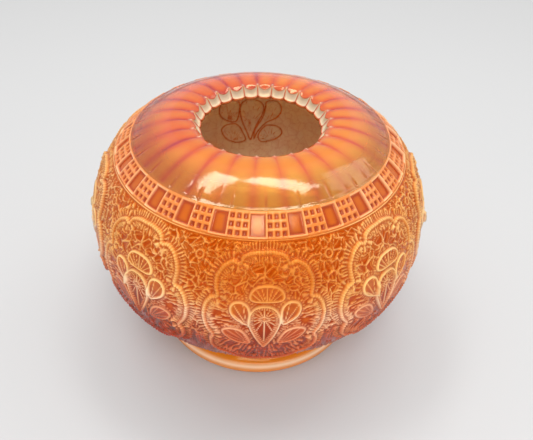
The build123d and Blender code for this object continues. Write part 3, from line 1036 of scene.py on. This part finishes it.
def per_row(floor_v, ins_v, outs_v, seam_v, rec_v):
    g = np.zeros((len(path), COLS))
    g[:n1], g[n1:n2], g[n2:n3], g[n3:n4], g[n4:] = floor_v, ins_v, outs_v, seam_v, rec_v
    return g


# the lower outside gets painted shade beside its raised lines and a redder, darker tint that is partly painted shade
disc_piece("base_glass_dish", grid, [M_WALL, M_INSIDE, SEAM, M_FOOT], idx_base,
           {"ridge": per_row(0, 0, co, 0, 0), "hollow": per_row(0, 0, cavity_shade(ho, 11.0), 0, 0),
            "tint": per_row(.3, .3, .75, .3, .3), "see": per_row(.6, .5, .55, .95, .8)},
           ("bowl_base",))

# ---- collar foot: a ring with a soft edge ------------------------------------------------
FOOT = [(41.4, 9.0), (42.3, 8.6), (43.3, 8.05), (44.2, 7.4), (44.9, 6.6), (45.3, 5.6), (45.5, 4.4), (45.6, 3.0),
        (45.5, 1.8), (45.1, 0.8), (44.4, 0.2), (43.6, 0.0), (42.4, 0.0), (41.4, 0.0), (40.6, 0.3), (40.0, 0.9),
        (39.6, 1.8), (39.4, 3.2), (39.4, 5.0), (39.4, 7.0), (39.4, 9.0)]
p, _ = spline(FOOT[:-1], 46)
foot = np.concatenate([p, [(39.4, 8.9)], [(39.4, 9.0)], [(40.4, 9.0)]])
foot[:, 1] = np.clip(foot[:, 1], 0, 9.0)
# painted highlight: a cream line round the ring's outer edge and a little cream on its outer face
ring_highlight = np.exp(-((foot[:, 1] - 5.0) / 1.3) ** 2) * (foot[:, 0] > 43)
disc_piece("foot_ring", foot, [M_FOOT, M_FOOT, SEAM], lambda i: 2 if i >= len(foot) - 2 else 0,
           {"ridge": 0.58 * ring_highlight + 0.12 * (foot[:, 0] > 44.9), "hollow": np.zeros(len(foot)),
            "tint": np.full(len(foot), 0.25), "see": np.full(len(foot), 0.45)},
           ("collar_foot",), closed_ring=True)

for o in pieces.values():
    o.data.update()

# =====================================================================================
# Floor, light and camera
# =====================================================================================
bpy.ops.mesh.primitive_plane_add(size=24.0, location=(0, 0, -0.00005))
ground = bpy.context.object
ground.name = "floor"
g = Net("floor_paper")
gb = g.n("ShaderNodeBsdfPrincipled")
g.link(gb.outputs[0], g.out.inputs[0])
g.link(g.mix(g.noise(3.0, 2.0), lin(191, 191, 191), lin(188, 188, 188)), gb.inputs["Base Color"])
gb.inputs["Roughness"].default_value = 0.85
gb.inputs["Specular IOR Level"].default_value = 0.2
ground.data.materials.append(g.mat)

world = bpy.data.worlds.new("studio")
scene.world = world
world.use_nodes = True
# a white studio that is darker on the camera's side of the room
wt = world.node_tree
wb = wt.nodes["Background"]
geo = wt.nodes.new("ShaderNodeTexCoord")
dot = wt.nodes.new("ShaderNodeVectorMath")
dot.operation = "DOT_PRODUCT"
dot.inputs[1].default_value = (0.0, -0.78, 0.626)
wt.links.new(geo.outputs["Generated"], dot.inputs[0])
fall = wt.nodes.new("ShaderNodeMapRange")
fall.interpolation_type = "SMOOTHSTEP"
fall.inputs["From Min"].default_value = 0.45
fall.inputs["From Max"].default_value = 0.95
fall.inputs["To Min"].default_value = 0.86
fall.inputs["To Max"].default_value = 0.46
wt.links.new(dot.outputs["Value"], fall.inputs["Value"])
wt.links.new(fall.outputs[0], wb.inputs[1])
wb.inputs[0].default_value = (1.0, 1.0, 1.0, 1)


def area(name, at, to, w, h, power, color=(1, 1, 1)):
    d = bpy.data.lights.new(name, "AREA")
    d.shape = "RECTANGLE"
    d.size, d.size_y, d.energy, d.color = w, h, power, color
    o = bpy.data.objects.new(name, d)
    scene.collection.objects.link(o)
    o.location = at
    o.rotation_euler = (Vector(to) - Vector(at)).to_track_quat("-Z", "Y").to_euler()
    return o


area("strip_left", (-0.35, 0.24, 1.12), (0, -0.03, 0.09), 0.60, 0.20, 3.2)
area("strip_right", (0.20, 0.24, 1.12), (0, -0.03, 0.09), 0.60, 0.20, 3.2)
area("side_softbox", (0.75, 0.35, 0.95), (0, 0, 0.05), 0.5, 0.5, 1.4)
area("front_softbox", (0.05, -0.55, 1.06), (0, 0.0, 0.05), 0.60, 0.34, 3.8)
area("low_front_softbox", (-0.05, -0.62, 0.80), (0, 0.0, 0.08), 0.45, 0.40, 2.2)
area("low_card", (0.0, -0.38, 0.05), (0, 0, 0.012), 0.40, 0.08, 0.36)

# camera fitted in the same frame; the object is turned so that a medallion faces -Y
E, ROLL, TURN = math.radians(41.1588), math.radians(-2.0813), math.radians(-3.3)
c, s_ = math.cos(ROLL), math.sin(ROLL)
M = np.array([[1, 0, 0], [0, math.sin(E), math.cos(E)], [0, math.cos(E), -math.sin(E)]])
Rr = np.array([[c, -s_, 0], [s_, c, 0], [0, 0, 1]])
W = Rr @ M
T = np.array([-0.07067917, -0.54497337, 3.91709509])
pos = -np.linalg.inv(W) @ T * R0 * MM
right, up, fwd = W
# turning the azimuths by -3.3 degrees: a point at azimuth a moves to a - 3.3
ct, st = math.cos(TURN), math.sin(TURN)
Z = np.array([[ct, -st, 0], [st, ct, 0], [0, 0, 1]])
pos, right, up, fwd = Z @ pos, Z @ right, Z @ up, Z @ fwd
cam_d = bpy.data.cameras.new("camera")
cam = bpy.data.objects.new("camera", cam_d)
scene.collection.objects.link(cam)
cam.matrix_world = Matrix(((right[0], up[0], -fwd[0], pos[0]), (right[1], up[1], -fwd[1], pos[1]),
                           (right[2], up[2], -fwd[2], pos[2]), (0, 0, 0, 1)))
cam_d.sensor_fit = "HORIZONTAL"
cam_d.sensor_width = 36.0
cam_d.lens = 519.0462 * 36.0 / 533.0
cam_d.clip_start = 0.01
scene.camera = cam
scene.view_settings.view_transform = "Standard"
